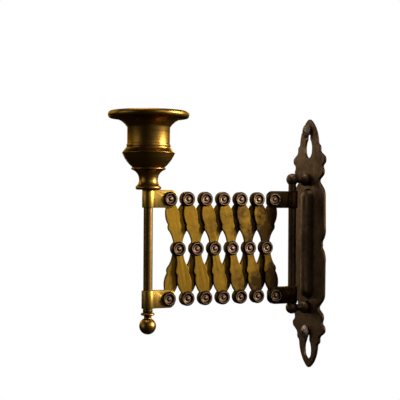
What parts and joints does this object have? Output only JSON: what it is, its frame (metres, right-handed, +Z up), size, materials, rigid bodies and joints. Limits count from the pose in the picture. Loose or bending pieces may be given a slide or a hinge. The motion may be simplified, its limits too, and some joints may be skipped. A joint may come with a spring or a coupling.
{
  "type": "candle wall sconce",
  "caption": "Candle wall sconce: an ornamental wall plate carries a swinging lazy-tongs arm of riveted links with a candle cup and drip pan on its front rod.",
  "frame": {"origin": "centre of the wall plate's back face", "axes": "+Z up, the arm reaches out along -Y, +X towards the side with the rivet heads"},
  "size_m": [0.0474, 0.135, 0.1546],
  "materials": {
    "dark_brass": "aged satin",
    "screw_brass": "aged satin",
    "cup_brass": "aged satin",
    "rivet_brass": "aged satin",
    "clip_brass": "aged satin",
    "link_brass": "aged satin"
  },
  "bodies": {
    "wall": {"wall_plate": "dark_brass", "upper_post": "dark_brass", "lower_post": "dark_brass", "rear_rod": "dark_brass", "mounting_screws": "screw_brass"},
    "rear_lower_clip": {"rear_lower_clip": "clip_brass", "rear_lower_clip_rivet": "rivet_brass"},
    "front_link_1": {"front_link_1": "link_brass", "link_rivets_1": "rivet_brass"},
    "rear_link_1": {"rear_link_1": "link_brass"},
    "front_link_2": {"front_link_2": "link_brass", "link_rivets_2": "rivet_brass"},
    "rear_link_2": {"rear_link_2": "link_brass"},
    "front_link_3": {"front_link_3": "link_brass", "link_rivets_3": "rivet_brass"},
    "rear_link_3": {"rear_link_3": "link_brass"},
    "front_link_4": {"front_link_4": "link_brass", "link_rivets_4": "rivet_brass"},
    "rear_link_4": {"rear_link_4": "link_brass"},
    "front_link_5": {"front_link_5": "link_brass", "link_rivets_5": "rivet_brass"},
    "rear_link_5": {"rear_link_5": "link_brass"},
    "front_link_6": {"front_link_6": "link_brass", "link_rivets_6": "rivet_brass"},
    "rear_link_6": {"rear_link_6": "link_brass"},
    "rear_upper_clip": {"rear_upper_clip": "clip_brass", "rear_upper_clip_rivet": "rivet_brass"},
    "front_upper_clip": {"front_upper_clip": "clip_brass", "front_upper_clip_rivet": "rivet_brass"},
    "front_lower_clip": {"front_lower_clip": "clip_brass", "front_lower_clip_rivet": "rivet_brass"},
    "candle": {"candle_socket": "cup_brass", "cup_base": "cup_brass", "front_rod": "cup_brass", "rod_finial": "cup_brass"}
  },
  "joints": [
    {"name": "swing", "type": "hinge", "parent": "wall", "child": "rear_lower_clip", "pos_m": [0, -0.0126, -0.03138], "axis": [0, 0, 1], "range_deg": [-80, 80]},
    {"name": "extend", "type": "hinge", "parent": "rear_lower_clip", "child": "front_link_1", "pos_m": [0, -0.0253, -0.03138], "axis": [1, 0, 0], "range_deg": [-1.8, 48]},
    {"name": "top_pivot_1", "type": "hinge", "parent": "front_link_1", "child": "rear_link_2", "pos_m": [0, -0.03667, 0.02712], "axis": [1, 0, 0], "range_deg": [-96.2, 3.8]},
    {"name": "bottom_pivot_2", "type": "hinge", "parent": "rear_link_2", "child": "front_link_3", "pos_m": [0, -0.04804, -0.03138], "axis": [1, 0, 0], "range_deg": [-3.8, 96.2]},
    {"name": "top_pivot_3", "type": "hinge", "parent": "front_link_3", "child": "rear_link_4", "pos_m": [0, -0.05942, 0.02712], "axis": [1, 0, 0], "range_deg": [-96.2, 3.8]},
    {"name": "bottom_pivot_4", "type": "hinge", "parent": "rear_link_4", "child": "front_link_5", "pos_m": [0, -0.07079, -0.03138], "axis": [1, 0, 0], "range_deg": [-3.8, 96.2]},
    {"name": "top_pivot_5", "type": "hinge", "parent": "front_link_5", "child": "rear_link_6", "pos_m": [0, -0.08216, 0.02712], "axis": [1, 0, 0], "range_deg": [-96.2, 3.8]},
    {"name": "crossing_1", "type": "hinge", "parent": "front_link_1", "child": "rear_link_1", "pos_m": [0, -0.03099, -0.00213], "axis": [1, 0, 0], "range_deg": [-96.2, 3.8]},
    {"name": "crossing_2", "type": "hinge", "parent": "rear_link_2", "child": "front_link_2", "pos_m": [0, -0.04236, -0.00213], "axis": [1, 0, 0], "range_deg": [-3.8, 96.2]},
    {"name": "crossing_3", "type": "hinge", "parent": "front_link_3", "child": "rear_link_3", "pos_m": [0, -0.05373, -0.00213], "axis": [1, 0, 0], "range_deg": [-96.2, 3.8]},
    {"name": "crossing_4", "type": "hinge", "parent": "rear_link_4", "child": "front_link_4", "pos_m": [0, -0.0651, -0.00213], "axis": [1, 0, 0], "range_deg": [-3.8, 96.2]},
    {"name": "crossing_5", "type": "hinge", "parent": "front_link_5", "child": "rear_link_5", "pos_m": [0, -0.07648, -0.00213], "axis": [1, 0, 0], "range_deg": [-96.2, 3.8]},
    {"name": "crossing_6", "type": "hinge", "parent": "rear_link_6", "child": "front_link_6", "pos_m": [0, -0.08785, -0.00213], "axis": [1, 0, 0], "range_deg": [-3.8, 96.2]},
    {"name": "rear_upper_clip_pivot", "type": "hinge", "parent": "rear_link_1", "child": "rear_upper_clip", "pos_m": [0, -0.0253, 0.02712], "axis": [1, 0, 0], "range_deg": [-2, 48.2]},
    {"name": "front_upper_clip_pivot", "type": "hinge", "parent": "front_link_6", "child": "front_upper_clip", "pos_m": [0, -0.09353, 0.02712], "axis": [1, 0, 0], "range_deg": [-48.2, 2]},
    {"name": "front_lower_clip_pivot", "type": "hinge", "parent": "rear_link_6", "child": "front_lower_clip", "pos_m": [0, -0.09353, -0.03138], "axis": [1, 0, 0], "range_deg": [-2, 48.2]},
    {"name": "candle_spin", "type": "hinge", "parent": "front_upper_clip", "child": "candle", "pos_m": [0, -0.10623, 0.03237], "axis": [0, 0, 1], "continuous": true}
  ],
  "couplings": [
    {"joint": "top_pivot_1", "follows": "extend", "ratio": -2},
    {"joint": "bottom_pivot_2", "follows": "extend", "ratio": 2},
    {"joint": "top_pivot_3", "follows": "extend", "ratio": -2},
    {"joint": "bottom_pivot_4", "follows": "extend", "ratio": 2},
    {"joint": "top_pivot_5", "follows": "extend", "ratio": -2},
    {"joint": "crossing_1", "follows": "extend", "ratio": -2},
    {"joint": "crossing_2", "follows": "extend", "ratio": 2},
    {"joint": "crossing_3", "follows": "extend", "ratio": -2},
    {"joint": "crossing_4", "follows": "extend", "ratio": 2},
    {"joint": "crossing_5", "follows": "extend", "ratio": -2},
    {"joint": "crossing_6", "follows": "extend", "ratio": 2},
    {"joint": "rear_upper_clip_pivot", "follows": "extend", "ratio": 1},
    {"joint": "front_upper_clip_pivot", "follows": "extend", "ratio": -1},
    {"joint": "front_lower_clip_pivot", "follows": "extend", "ratio": 1}
  ]
}
